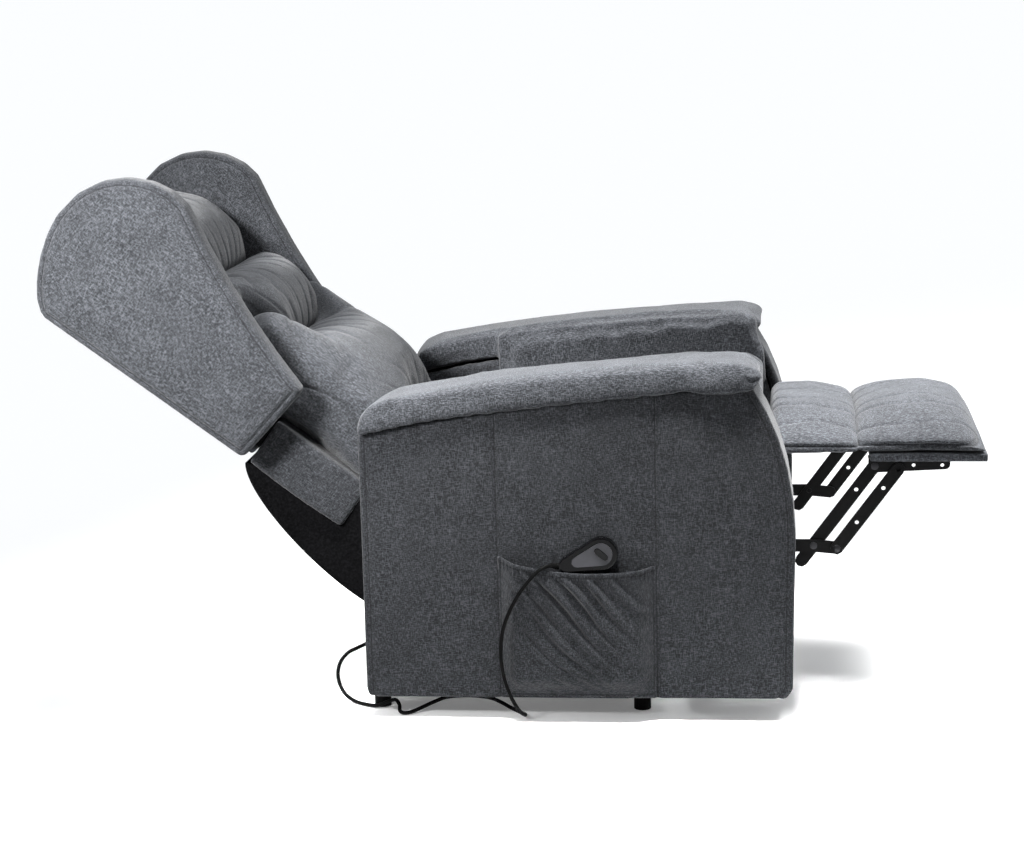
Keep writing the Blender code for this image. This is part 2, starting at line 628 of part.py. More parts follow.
def make_handset(chair):
    head, tail = Vector(HANDSET_HEAD), Vector(HANDSET_TAIL)
    along = (tail - head)
    lean = atan2(along.y, along.x)
    spread = acos((0.029 - 0.013) / along.length)
    degrees = 180 / pi
    outline = arc(HANDSET_HEAD, 0.029, (lean + spread) * degrees,
                  (lean - spread) * degrees + 360, 10)
    outline += arc(HANDSET_TAIL, 0.013, (lean - spread) * degrees, (lean + spread) * degrees, 4)
    shell = rounded(prism(outline, *HANDSET_Y), 0.004, 2)
    add_object("handset_shell", shell, PLASTIC, chair)
    face = [(head.x + 0.7 * (x - head.x), head.y + 0.7 * (z - head.y))
            for x, z in outline]
    lip = HANDSET_Y[1] - GAP
    slot = pill(HANDSET_HEAD, 0.0088, 0.0058)
    plate = prism(face, lip - 0.0012, lip, [slot])
    add_object("handset_face", plate, GREY_PLASTIC, chair)
    rocker = prism(pill(HANDSET_HEAD, 0.0080, 0.0050), lip - 0.0034, lip - 0.0006)
    add_object("handset_rocker", rocker, RUBBER, chair, (head.x, lip - 0.0006, head.y))


def pill(centre, half, radius):
    """A rocker's outline: a slot shape that slopes down to the front."""
    slope = radians(-41)
    shift = Vector((half * cos(slope), half * sin(slope)))
    ends = [(centre[0] + s * shift.x, centre[1] + s * shift.y) for s in (-1, 1)]
    return bar_outline(ends[0], ends[1], 2 * radius, 4)


def cord_route():
    """The hand control's cord, from the rear gland to the hand control's tail."""
    return [
        (-0.2746, -0.1700, 0.0830), (-0.2850, -0.1702, 0.0832), (-0.2950, -0.1775, 0.0842),
        (-0.3020, -0.1940, 0.0845), (-0.3125, -0.2100, 0.0830), (-0.3264, -0.2220, 0.0780),
        (-0.3380, -0.2360, 0.0650), (-0.3420, -0.2470, 0.0470), (-0.3375, -0.2570, 0.0285),
        (-0.3260, -0.2690, 0.0140), (-0.3070, -0.2840, 0.0055), (-0.2830, -0.2995, 0.0040),
        (-0.2580, -0.3110, 0.0060), (-0.2380, -0.3125, 0.0140), (-0.2235, -0.3150, 0.0185),
        (-0.2150, -0.3250, 0.0125), (-0.2120, -0.3375, 0.0050), (-0.2030, -0.3450, 0.0038),
        (-0.1900, -0.3400, 0.0045), (-0.1750, -0.3280, 0.0080), (-0.1511, -0.3165, 0.0165),
        (-0.1280, -0.3110, 0.0235), (-0.0900, -0.3100, 0.0265), (-0.0518, -0.3105, 0.0235),
        (-0.0310, -0.3130, 0.0165), (-0.0110, -0.3200, 0.0080), (0.0060, -0.3310, 0.0040),
        (0.0175, -0.3450, 0.0040), (0.0190, -0.3620, 0.0090), (0.0130, -0.3800, 0.0210),
        (0.0050, -0.3905, 0.0385), (-0.0040, -0.3935, 0.0600), (-0.0130, -0.3940, 0.0900),
        (-0.0175, -0.3940, 0.1300), (-0.0140, -0.3945, 0.1700), (-0.0040, -0.3945, 0.2020),
        (0.0110, -0.3945, 0.2330), (0.0280, -0.3940, 0.2580), (0.0480, -0.3930, 0.2810),
        (0.0620, -0.3895, 0.2900), (0.0750, -0.3800, 0.2915), (0.0850, -0.3730, 0.2890),
    ]


def smooth_path(route, steps):
    """Points along a curve through the route's points."""
    ends = [Vector(route[0]) * 2 - Vector(route[1]), Vector(route[-1]) * 2 - Vector(route[-2])]
    stops = [ends[0], *[Vector(p) for p in route], ends[1]]
    points = []
    for a, b, c, d in zip(stops, stops[1:], stops[2:], stops[3:]):
        for i in range(steps):
            t = i / steps
            points.append(0.5 * (2 * b + (c - a) * t + (2 * a - 5 * b + 4 * c - d) * t ** 2
                                 + (3 * b - a - 3 * c + d) * t ** 3))
    return points + [Vector(route[-1])]


def make_cord(chair):
    points = smooth_path(cord_route(), 3)
    curve = bpy.data.curves.new("handset_cord", "CURVE")
    curve.dimensions = "3D"
    curve.bevel_depth = CORD_R
    curve.bevel_resolution = 2
    curve.use_fill_caps = True
    spline = curve.splines.new("POLY")
    spline.points.add(len(points) - 1)
    for place, point in zip(spline.points, points):
        place.co = (*point, 1.0)
    cord = bpy.data.objects.new("handset_cord", curve)
    bpy.context.scene.collection.objects.link(cord)
    cord.parent = chair
    curve.materials.append(material("handset_cord", **RUBBER))


# ---------------------------------------------------------------- dust cover

def make_dust_cover(chair):
    """A thin cloth that hangs from the back's lower edge to the rear of the chassis."""
    outer = bezier([(-0.5020, 0.4440), (-0.505, 0.385), (-0.380, 0.235), (-0.2750, 0.172)], 6)
    outer.append((-0.2750, 0.172))
    inner = [(x + 0.0022, z + 0.0022) for x, z in outer]
    add_object("dust_cover", prism(outer + inner[::-1], -0.232, 0.232), BLACK_CLOTH, chair)


def main():
    for old in list(bpy.data.objects):
        bpy.data.objects.remove(old)
    chair = frame_empty("chair", (MID_X, MID_Y, 0))
    make_base(chair)
    make_lift(chair)
    make_chassis(chair)
    make_arms(chair)
    make_legrest(chair)
    make_back(chair)
    actuator("lift_actuator", LIFT_DRIVE, 0.0, chair, 1, 0.275, 0.110)
    actuator("recline_actuator", RECLINE_DRIVE, RECLINE_DRIVE_Y, chair, -1, 0.300, 0.120)
    actuator("legrest_actuator", LEGREST_DRIVE, LEGREST_DRIVE_Y, chair, 1, 0.400, 0.200)
    make_handset(chair)
    make_cord(chair)
    make_dust_cover(chair)
    bpy.context.view_layer.update()


main()
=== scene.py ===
from math import cos, hypot, pi, radians, sin

import bmesh
import bpy
import numpy as np
from mathutils import Matrix, Vector, noise
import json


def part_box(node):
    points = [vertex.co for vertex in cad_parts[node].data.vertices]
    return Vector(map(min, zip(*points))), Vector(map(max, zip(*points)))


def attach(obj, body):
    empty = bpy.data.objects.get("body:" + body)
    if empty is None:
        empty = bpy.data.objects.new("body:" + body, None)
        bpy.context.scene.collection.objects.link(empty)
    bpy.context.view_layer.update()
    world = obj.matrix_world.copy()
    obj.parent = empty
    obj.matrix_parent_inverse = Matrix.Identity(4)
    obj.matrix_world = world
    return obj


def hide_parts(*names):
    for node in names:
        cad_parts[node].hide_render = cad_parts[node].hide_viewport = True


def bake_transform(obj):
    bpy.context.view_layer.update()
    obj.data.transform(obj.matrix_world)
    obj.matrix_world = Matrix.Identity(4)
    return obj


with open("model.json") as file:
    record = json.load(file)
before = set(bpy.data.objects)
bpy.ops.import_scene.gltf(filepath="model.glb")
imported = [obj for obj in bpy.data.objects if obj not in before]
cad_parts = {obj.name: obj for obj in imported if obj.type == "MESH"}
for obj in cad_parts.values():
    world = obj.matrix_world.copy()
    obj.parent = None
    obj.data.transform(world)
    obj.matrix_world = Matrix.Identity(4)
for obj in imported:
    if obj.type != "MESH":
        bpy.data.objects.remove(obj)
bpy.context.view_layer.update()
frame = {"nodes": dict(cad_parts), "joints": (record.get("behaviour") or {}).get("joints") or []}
scene = bpy.context.scene

# The chair's own frame, as in the CAD source: its middle plane and its back's frame
MID = np.array([0.00665, 0.00825, 0.0])
HINGE = np.array([-0.2416, 0.0, 0.372]) + MID
BACK_TILT = radians(53.67)
FORWARD = np.array([cos(BACK_TILT), 0.0, sin(BACK_TILT)])
UP = np.array([-sin(BACK_TILT), 0.0, cos(BACK_TILT)])

CUSHION_HALF = 0.2535       # half width of the two upper back cushions and the rear panel
LOWER_CUSHION_HALF = 0.235
SWING_LINK_FACE = 0.2195    # outer face of the legrest's links, from the middle plane
ARM_FACE = 0.360            # outer face of the arms, from the middle plane
ARM_PANEL_SEAMS = (-0.0235, 0.2585, -0.2555)
POCKET_REAR, POCKET_FRONT, POCKET_LOW = -0.0215, 0.2565, 0.045
LEGREST_HALF = 0.236
DUST_CLOTH_EDGE = 0.4440    # height where the dust cloth meets the back
CLOTH_THICKNESS = 0.0015

THREAD_ALONG, THREAD_ACROSS = 140.0, 820.0
STITCH_PITCH = 0.0065
STITCH_OFFSET = 0.0050
SEAM_WIDTH = 0.004


# ---------------------------------------------------------------- camera, light and floor

def make_camera():
    yaw, pitch, roll = 0.1154, 0.2054, -0.0249
    ahead = Vector((-sin(yaw) * cos(pitch), cos(yaw) * cos(pitch), -sin(pitch)))
    side = Vector((cos(yaw), sin(yaw), 0.0))
    above = side.cross(ahead)
    right = side * cos(roll) + above * sin(roll)
    top = above * cos(roll) - side * sin(roll)
    data = bpy.data.cameras.new("camera")
    data.sensor_width = 36.0
    data.lens = 79.63
    camera = bpy.data.objects.new("camera", data)
    place = Matrix.Translation((0.4629, -4.2134, 1.3419))
    camera.matrix_world = place @ Matrix((right, top, -ahead)).transposed().to_4x4()
    scene.collection.objects.link(camera)
    scene.camera = camera


def area_light(name, place, aim, size, power, spread):
    data = bpy.data.lights.new(name, "AREA")
    data.shape = "RECTANGLE"
    data.size, data.size_y = size
    data.energy = power
    data.spread = radians(spread)
    light = bpy.data.objects.new(name, data)
    light.location = place
    light.rotation_euler = (Vector(aim) - Vector(place)).to_track_quat("-Z", "Y").to_euler()
    scene.collection.objects.link(light)


def make_world():
    """White behind the chair; as light, brighter overhead and dimmer from the camera's side."""
    world = bpy.data.worlds.new("studio")
    world.use_nodes = True
    tree = world.node_tree
    back = tree.nodes["Background"]
    back.inputs["Color"].default_value = (1.0, 1.0, 1.0, 1.0)
    back.inputs["Strength"].default_value = 1.0
    way = put(tree, "ShaderNodeTexCoord").outputs["Generated"]
    axes = put(tree, "ShaderNodeSeparateXYZ", {0: way}).outputs
    overhead = span(tree, axes[2], -0.05, 0.75, 0.35, 1.30)
    strength = calc(tree, "MULTIPLY", overhead, span(tree, axes[1], -0.95, 0.10, 0.12, 1.0))
    dim = put(tree, "ShaderNodeBackground", {"Color": (0.96, 0.98, 1.0, 1.0), "Strength": strength})
    path = put(tree, "ShaderNodeLightPath")
    mixed = put(tree, "ShaderNodeMixShader", {0: path.outputs["Is Camera Ray"], 1: dim.outputs[0],
                                              2: back.outputs[0]})
    tree.links.new(mixed.outputs[0], tree.nodes["World Output"].inputs["Surface"])
    scene.world = world


def make_lights():
    area_light("top_light", (0.05, 0.15, 2.3), (0.10, -0.10, 0.55), (1.7, 0.7), 16, 60)
    area_light("pad_light", (0.05, -0.60, 1.95), (0.08, -0.33, 0.60), (1.0, 0.20), 5.0, 22)
    area_light("wing_light", (-1.6, -1.9, 1.9), (-0.66, -0.30, 0.86), (0.7, 0.7), 15, 31)
    area_light("front_light", (1.15, 0.25, 1.75), (0.70, 0.0, 0.50), (0.7, 0.7), 12, 50)


def make_floor():
    bpy.ops.mesh.primitive_plane_add(size=400)
    floor = bpy.context.object
    floor.name = "floor"
    floor.location.z = -0.0002
    pale, _, shader = blank("floor_pale", 0.9)
    shader.inputs["Base Color"].default_value = (0.94, 0.94, 0.94, 1.0)
    shader.inputs["Emission Color"].default_value = (1.0, 1.0, 1.0, 1.0)
    shader.inputs["Emission Strength"].default_value = 0.15
    floor.data.materials.append(pale)


def make_studio():
    scene.view_settings.view_transform = "Standard"
    make_world()
    make_lights()
    make_floor()


# ---------------------------------------------------------------- node materials

def put(tree, kind, inputs=None, **settings):
    """Adds a node; an input's value is a number, a vector or another node's output."""
    made = tree.nodes.new(kind)
    for key, value in settings.items():
        setattr(made, key, value)
    for key, value in (inputs or {}).items():
        if isinstance(value, bpy.types.NodeSocket):
            tree.links.new(value, made.inputs[key])
        else:
            made.inputs[key].default_value = value
    return made


def calc(tree, operation, a, b=0.0):
    return put(tree, "ShaderNodeMath", {0: a, 1: b}, operation=operation).outputs[0]


def span(tree, value, low, high, out_low=0.0, out_high=1.0):
    """The value carried smoothly from one range to another, and held at its ends."""
    made = put(tree, "ShaderNodeMapRange", {"Value": value, "From Min": low, "From Max": high,
                                            "To Min": out_low, "To Max": out_high})
    made.interpolation_type = "SMOOTHSTEP"
    return made.outputs["Result"]


def blank(name, roughness, metallic=0.0):
    made = bpy.data.materials.new(name)
    made.use_nodes = True
    shader = made.node_tree.nodes["Principled BSDF"]
    shader.inputs["Roughness"].default_value = roughness
    shader.inputs["Metallic"].default_value = metallic
    return made, made.node_tree, shader


def mixed_colour(tree, share, dark, light):
    made = put(tree, "ShaderNodeMix", {0: share}, data_type="RGBA")
    for index, colour in ((6, dark), (7, light)):
        if isinstance(colour, bpy.types.NodeSocket):
            tree.links.new(colour, made.inputs[index])
        else:
            made.inputs[index].default_value = (*colour, 1.0)
    return made.outputs[2]


def scaled(tree, vector, scale, detail):
    """Noise with its own scale along each axis."""
    place = put(tree, "ShaderNodeMapping", {"Vector": vector, "Scale": scale})
    made = put(tree, "ShaderNodeTexNoise", {"Vector": place.outputs[0], "Scale": 1.0,
                                            "Detail": detail, "Roughness": 0.6})
    return made.outputs["Fac"]


def relief(tree, shader, height, strength, distance):
    made = put(tree, "ShaderNodeBump", {"Height": height, "Strength": strength,
                                        "Distance": distance})
    tree.links.new(made.outputs[0], shader.inputs["Normal"])


def weave_noise(tree, place, facing):
    """Slubby threads both ways in each plane, mixed by the way the surface faces."""
    flat = put(tree, "ShaderNodeVectorMath", {0: facing}, operation="ABSOLUTE").outputs[0]
    share = put(tree, "ShaderNodeSeparateXYZ", {0: flat}).outputs
    total, weight = 0.0, 0.0
    for axis in range(3):
        scale = [THREAD_ACROSS] * 3
        scale[axis] = THREAD_ALONG
        thread = span(tree, scaled(tree, place, scale, 2.0), 0.46, 0.68)
        part = calc(tree, "SUBTRACT", 1.0, share[axis])
        total = calc(tree, "ADD", calc(tree, "MULTIPLY", thread, part), total)
        weight = calc(tree, "ADD", part, weight)
    return calc(tree, "DIVIDE", total, weight)


def seam_marks(tree):
    """The distance from a seam, its dark line and the stitches beside it."""
    seam = put(tree, "ShaderNodeAttribute", attribute_name="seam").outputs["Fac"]
    off = calc(tree, "ABSOLUTE", seam)
    line = span(tree, off, 0.0004, 0.0017, 1.0, 0.0)
    along = put(tree, "ShaderNodeAttribute", attribute_name="along").outputs["Fac"]
    beat = calc(tree, "SINE", calc(tree, "MULTIPLY", along, 2 * pi / STITCH_PITCH))
    row = calc(tree, "ABSOLUTE", calc(tree, "SUBTRACT", off, STITCH_OFFSET))
    stitch = calc(tree, "MULTIPLY", span(tree, row, 0.0005, 0.0011, 1.0, 0.0),
                  span(tree, beat, -0.2, 0.1))
    return off, line, stitch


def fabric(name, tone, turn=0.0):
    """A heathered plain weave: slubby threads both ways, with seams where the mesh says."""
    made, tree, shader = blank(name, 0.92)
    shader.inputs["Sheen Weight"].default_value = 0.12
    shader.inputs["Sheen Roughness"].default_value = 0.45
    shader.inputs["Specular IOR Level"].default_value = 0.15
    place = put(tree, "ShaderNodeTexCoord")
    turned = put(tree, "ShaderNodeMapping", {"Vector": place.outputs["Object"],
                                             "Rotation": (0.0, turn, 0.0)}).outputs[0]
    facing = put(tree, "ShaderNodeMapping", {"Vector": place.outputs["Normal"],
                                             "Rotation": (0.0, turn, 0.0)}).outputs[0]
    weave = weave_noise(tree, turned, facing)
    cloud = scaled(tree, turned, (22.0, 22.0, 22.0), 4.0)
    share_light = calc(tree, "ADD", calc(tree, "MULTIPLY", weave, 0.90),
                       span(tree, cloud, 0.30, 0.75, 0.0, 0.10))
    tint = (1.0, 1.06, 1.19)
    dark = tuple(0.33 * tone * t for t in tint)
    light = tuple(3.1 * tone * t for t in tint)
    cloth = mixed_colour(tree, share_light, dark, light)
    off, line, stitch = seam_marks(tree)
    cloth = mixed_colour(tree, calc(tree, "MULTIPLY", line, 0.65), cloth, (0.006, 0.006, 0.007))
    cloth = mixed_colour(tree, calc(tree, "MULTIPLY", stitch, 0.55), cloth, (0.012, 0.013, 0.015))
    tree.links.new(cloth, shader.inputs["Base Color"])
    height = calc(tree, "ADD", calc(tree, "MULTIPLY", weave, 0.35),
                  span(tree, off, 0.0, 0.0045, -0.9, 0.0))
    height = calc(tree, "ADD", height, calc(tree, "MULTIPLY", stitch, -0.25))
    relief(tree, shader, height, 0.55, 0.0016)
    return made


def coated(name, colour, roughness, metallic, grain, depth, shine=0.25):
    """A painted, moulded or rubbery surface with fine grain and uneven gloss."""
    made, tree, shader = blank(name, roughness, metallic)
    shader.inputs["Specular IOR Level"].default_value = shine
    place = put(tree, "ShaderNodeTexCoord").outputs["Object"]
    fine = scaled(tree, place, (grain,) * 3, 3.0)
    broad = scaled(tree, place, (18.0,) * 3, 3.0)
    low = tuple(0.75 * c for c in colour)
    high = tuple(1.35 * c for c in colour)
    tree.links.new(mixed_colour(tree, span(tree, broad, 0.3, 0.7), low, high),
                   shader.inputs["Base Color"])
    rough = span(tree, fine, 0.3, 0.7, roughness - 0.08, roughness + 0.10)
    tree.links.new(rough, shader.inputs["Roughness"])
    relief(tree, shader, fine, 0.35, depth)
    return made


def felted(name):
    """The thin black nonwoven cloth under the back; the frame and the deck near it wear it too."""
    made, tree, shader = blank(name, 1.0)
    shader.inputs["Specular IOR Level"].default_value = 0.05
    place = put(tree, "ShaderNodeTexCoord").outputs["Object"]
    fuzz = scaled(tree, place, (260.0, 260.0, 260.0), 4.0)
    cells = put(tree, "ShaderNodeTexVoronoi", {"Vector": place, "Scale": 220.0})
    tree.links.new(mixed_colour(tree, span(tree, fuzz, 0.35, 0.75), (0.0006, 0.0006, 0.0007),
                                (0.0040, 0.0040, 0.0045)), shader.inputs["Base Color"])
    relief(tree, shader, calc(tree, "ADD", fuzz, cells.outputs["Distance"]), 0.6, 0.0012)
    return made


def make_materials():
    return {
        # One cloth in lit and shaded copies: the seat, pads, legrest, back and wings get lighter
        # tones and the sides, pocket and lower back a darker one, as painted light and painted
        # shade.
        "side": fabric("fabric_sides_shaded_tone", 0.0190),
        "pad": fabric("fabric_pads_lit_tone", 0.030),
        "seat": fabric("fabric_seat_lit_tone", 0.030),
        "pocket": fabric("fabric_pocket_shaded_tone", 0.0190),
        "rest": fabric("fabric_legrest_lit_tone", 0.036),
        "back": fabric("fabric_back_lit_tone", 0.027, BACK_TILT),
        "wing": fabric("fabric_wings_lit_tone", 0.028, BACK_TILT),
        "shade": fabric("fabric_lower_back_shaded_tone", 0.0190, BACK_TILT),
        "steel": coated("black_powder_coat", (0.0012, 0.0012, 0.0013), 0.50, 0.0, 900.0, 0.0003,
                        0.12),
        "zinc": coated("zinc_rivet", (0.028, 0.028, 0.030), 0.40, 0.8, 700.0, 0.0002),
        "rod": coated("bright_rod", (0.55, 0.55, 0.57), 0.25, 1.0, 500.0, 0.0001),
        "motor": coated("motor_housing", (0.012, 0.012, 0.013), 0.50, 0.0, 1200.0, 0.0003),
        "rubber": coated("foot_rubber", (0.002, 0.002, 0.002), 0.75, 0.0, 600.0, 0.0004, 0.06),
        "lead": coated("cord_jacket", (0.0012, 0.0012, 0.0012), 0.50, 0.0, 500.0, 0.0002, 0.06),
        "gloss": coated("handset_gloss", (0.0010, 0.0010, 0.0012), 0.18, 0.0, 120.0, 0.00005, 0.20),
        "face": coated("handset_face_grey", (0.034, 0.034, 0.038), 0.38, 0.0, 1500.0, 0.0001),
        "key": coated("rocker_rubber", (0.001, 0.001, 0.001), 0.50, 0.0, 900.0, 0.0002),
        "felt": felted("dust_cloth"),
    }


# ---------------------------------------------------------------- mesh helpers

def points_of(obj):
    flat = np.zeros(len(obj.data.vertices) * 3)
    obj.data.vertices.foreach_get("co", flat)
    return flat.reshape(-1, 3)


def set_points(obj, points):
    obj.data.vertices.foreach_set("co", points.astype(np.float32).ravel())
    obj.data.update()


def normals_of(obj):
    flat = np.zeros(len(obj.data.vertices) * 3)
    obj.data.vertices.foreach_get("normal", flat)
    return flat.reshape(-1, 3)


def settle(obj):
    """Bakes the object's modifiers into its mesh."""
    view = bpy.context.evaluated_depsgraph_get()
    view.update()
    made = bpy.data.meshes.new_from_object(obj.evaluated_get(view))
    old = obj.data
    obj.modifiers.clear()
    obj.data = made
    bpy.data.meshes.remove(old)
    return obj


def from_cad(name, *nodes):
    """A new object with the welded shape of CAD nodes."""
    mesh = bmesh.new()
    for node in nodes:
        mesh.from_mesh(frame["nodes"][node].data)
    bmesh.ops.remove_doubles(mesh, verts=mesh.verts, dist=1e-5)
    data = bpy.data.meshes.new(name)
    mesh.to_mesh(data)
    mesh.free()
    made = bpy.data.objects.new(name, data)
    scene.collection.objects.link(made)
    return made


def from_bmesh(name, mesh):
    bmesh.ops.recalc_face_normals(mesh, faces=mesh.faces)
    data = bpy.data.meshes.new(name)
    mesh.to_mesh(data)
    mesh.free()
    made = bpy.data.objects.new(name, data)
    scene.collection.objects.link(made)
    return made


def remesh(obj, voxel, smooth_steps):
    change = obj.modifiers.new("remesh", "REMESH")
    change.mode = "VOXEL"
    change.voxel_size = voxel
    soften = obj.modifiers.new("soften", "SMOOTH")
    soften.factor = 0.5
    soften.iterations = smooth_steps
    return settle(obj)


def thicken(obj, thickness, offset=-1.0):
    thick = obj.modifiers.new("thick", "SOLIDIFY")
    thick.thickness = thickness
    thick.offset = offset
    return settle(obj)


def skin(mesh, grid):
    """Faces between the lines of a grid of vertices."""
    for a, b in zip(grid, grid[1:]):
        for i in range(len(a) - 1):
            mesh.faces.new((a[i], b[i], b[i + 1], a[i + 1]))


def wear(obj, look):
    obj.data.materials.clear()
    obj.data.materials.append(look)
    obj.data.shade_smooth()


def subdivide(obj):
    change = obj.modifiers.new("subdivide", "SUBSURF")
    change.levels = change.render_levels = 1
    return settle(obj)


def inflate(jobs):
    """Blows up closed shells together with cloth pressure, each within its own cap.

    A job is (object, pressure, cap, share of the motion kept along x, y and z)."""
    starts = []
    for obj, pressure, _, _ in jobs:
        cloth = obj.modifiers.new("cloth", "CLOTH")
        settings = cloth.settings
        settings.quality = 4
        settings.mass = 0.25
        settings.use_pressure = True
        settings.uniform_pressure_force = pressure
        settings.tension_stiffness = settings.compression_stiffness = 18.0
        settings.bending_stiffness = 0.8
        settings.effector_weights.gravity = 0.0
        cloth.collision_settings.use_collision = False
        cloth.point_cache.frame_start, cloth.point_cache.frame_end = 1, 20
        starts.append(points_of(obj))
    for step in range(1, 21):
        scene.frame_set(step)
    for (obj, _, cap, kept), start in zip(jobs, starts):
        settle(obj)
        move = (points_of(obj) - start) * kept
        length = np.linalg.norm(move, axis=1, keepdims=True)
        set_points(obj, start + move * np.minimum(1.0, cap / np.maximum(length, 1e-9)))
    scene.frame_set(1)


def to_back(points):
    """Points as (forwards, across, up along the back) from the recline hinge."""
    moved = points - HINGE
    return np.stack([moved @ FORWARD, points[:, 1] - MID[1], moved @ UP], axis=1)


def from_back(local):
    points = HINGE + np.outer(local[:, 0], FORWARD) + np.outer(local[:, 2], UP)
    points[:, 1] = local[:, 1] + MID[1]
    return points


def bump(value, centre, width):
    """A smooth hill of height one."""
    return np.exp(-((value - centre) / width) ** 2)


def ease(value, low, high):
    t = np.clip((value - low) / (high - low), 0.0, 1.0)
    return t * t * (3 - 2 * t)


def soft_limit(value, limit, give):
    """The value, eased so that it never passes the limit."""
    start = limit - give
    return np.where(value > start, start + give * np.tanh((value - start) / give), value)


def wobble(points, scale, seed):
    """Smooth noise from -1 to 1 at each point."""
    shift = Vector((seed, 1.7 * seed, -seed))
    return np.array([noise.noise(Vector(p) * scale + shift) for p in points])


def chain_distance(u, v, chain):
    """Distance to an open chain of points, and how far along it the nearest point is."""
    best = np.full(len(u), 1e9)
    along = np.zeros(len(u))
    walked = 0.0
    for (ax, ay), (bx, by) in zip(chain, chain[1:]):
        length = hypot(bx - ax, by - ay)
        t = np.clip(((u - ax) * (bx - ax) + (v - ay) * (by - ay)) / length ** 2, 0, 1)
        gap = np.hypot(u - ax - t * (bx - ax), v - ay - t * (by - ay))
        near = gap < best
        best[near] = gap[near]
        along[near] = walked + t[near] * length
        walked += length
    return best, along


def bezier(controls, steps):
    points = []
    for i in range(steps + 1):
        row = [Vector(c) for c in controls]
        while len(row) > 1:
            row = [a.lerp(b, i / steps) for a, b in zip(row, row[1:])]
        points.append(tuple(row[0]))
    return points


def mark_seams(obj, seams, depth):
    """Stores the distance from the nearest seam and the place along it, and sinks the seams.

    A seam is (signed distance, distance along it) at each point."""
    count = len(obj.data.vertices)
    nearest, along, sign = np.full(count, 1.0), np.zeros(count), np.ones(count)
    for gap, run in seams:
        closer = np.abs(gap) < nearest
        nearest = np.where(closer, np.abs(gap), nearest)
        along = np.where(closer, run, along)
        sign *= np.where(gap < 0, -1.0, 1.0)
    if depth:
        sink = depth * np.exp(-(nearest / SEAM_WIDTH) ** 2)
        set_points(obj, points_of(obj) - normals_of(obj) * sink[:, None])
    for name, values in (("seam", nearest * sign), ("along", along)):
        layer = obj.data.attributes.new(name, "FLOAT", "POINT")
        layer.data.foreach_set("value", values.astype(np.float32))


def upholster(obj, look, seams=(), depth=0.0):
    mark_seams(obj, seams, depth)
    wear(obj, look)
    return obj


# ---------------------------------------------------------------- back

def wing_outline():
    """The wing's edge in the back's frame, forwards and up."""
    line = [(-0.0716, 0.2567), (0.0954, 0.2372)]
    line += bezier([(0.0954, 0.2372), (0.154, 0.431), (0.2504, 0.593)], 10)[1:]
    line += bezier([(0.2504, 0.593), (0.2714, 0.658), (0.2234, 0.774), (0.0984, 0.777)], 14)[1:]
    line += bezier([(0.0984, 0.777), (0.0384, 0.777), (-0.0466, 0.743), (-0.0716, 0.702)], 10)[1:]
    return line + [(-0.0716, 0.2567)]


def make_wings(look):
    edge = wing_outline()
    for side, out in (("right", -1), ("left", 1)):
        wing = remesh(from_cad(f"wing_{side}", f"back_wing_{side}"), 0.0055, 6)
        local = to_back(points_of(wing))
        inset, _ = chain_distance(local[:, 0], local[:, 2], edge)
        middle = 0.280
        crown = 0.006 * ease(inset, 0.0, 0.07)
        local[:, 1] = out * middle + (local[:, 1] - out * middle) * (1.0 + crown / 0.025)
        wave = wobble(local * [1, 0, 1], 9.0, 3.0) * 0.0012 * ease(inset, 0.01, 0.06)
        local[:, 1] += wave * np.sign(local[:, 1] - out * middle)
        set_points(wing, from_back(local))
        subdivide(wing)
        local = to_back(points_of(wing))
        gap, run = chain_distance(local[:, 0], local[:, 2], edge)
        upholster(wing, look, [(gap - 0.0115, run)], 0.0022)
        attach(wing, "back")
        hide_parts(f"back_wing_{side}")


def pillow(name, node, half):
    """A back pillow's starting shape: its CAD solid, a little thinner and with eased sides."""
    obj = remesh(from_cad(name, node), 0.007, 4)
    local = to_back(points_of(obj))
    front = ease(local[:, 0], 0.03, 0.13)
    local[:, 0] -= 0.010 * front
    local[:, 0] -= 0.020 * front * (np.abs(local[:, 1]) / half) ** 4
    local[:, 1] *= 0.985
    set_points(obj, from_back(local))
    return obj


def pleats(local, at, reach, spots, seed):
    """Lengthwise folds that run out from a crease at one height of the back."""
    away = np.abs(local[:, 2] - at)
    fade = np.exp(-(away / reach) ** 1.5)
    total = np.zeros(len(local))
    bend = 0.010 * wobble(local * [0.3, 1.0, 1.0], 14.0, seed)
    for index, (spot, strength) in enumerate(spots):
        lean = spot * (1.0 + 0.5 * away / reach)
        total -= strength * bump(local[:, 1] + bend, lean, 0.0045 + 0.0015 * (index % 3))
    return total * fade


def sweep_crease(local, horns):
    """Carries the crease over the lower pillow up towards the wings, where it is fullest."""
    away = np.abs(local[:, 1])
    full = ease(away, 0.13, 0.20) * bump(local[:, 2], 0.320, 0.060) * ease(local[:, 0], 0.05, 0.12)
    local[:, 0] += horns * full
    rise = 0.085 * ease(away, 0.13, 0.215) * (1 - 0.40 * ease(away, 0.200, 0.240))
    local[:, 2] += rise * bump(local[:, 2], 0.316, 0.110)


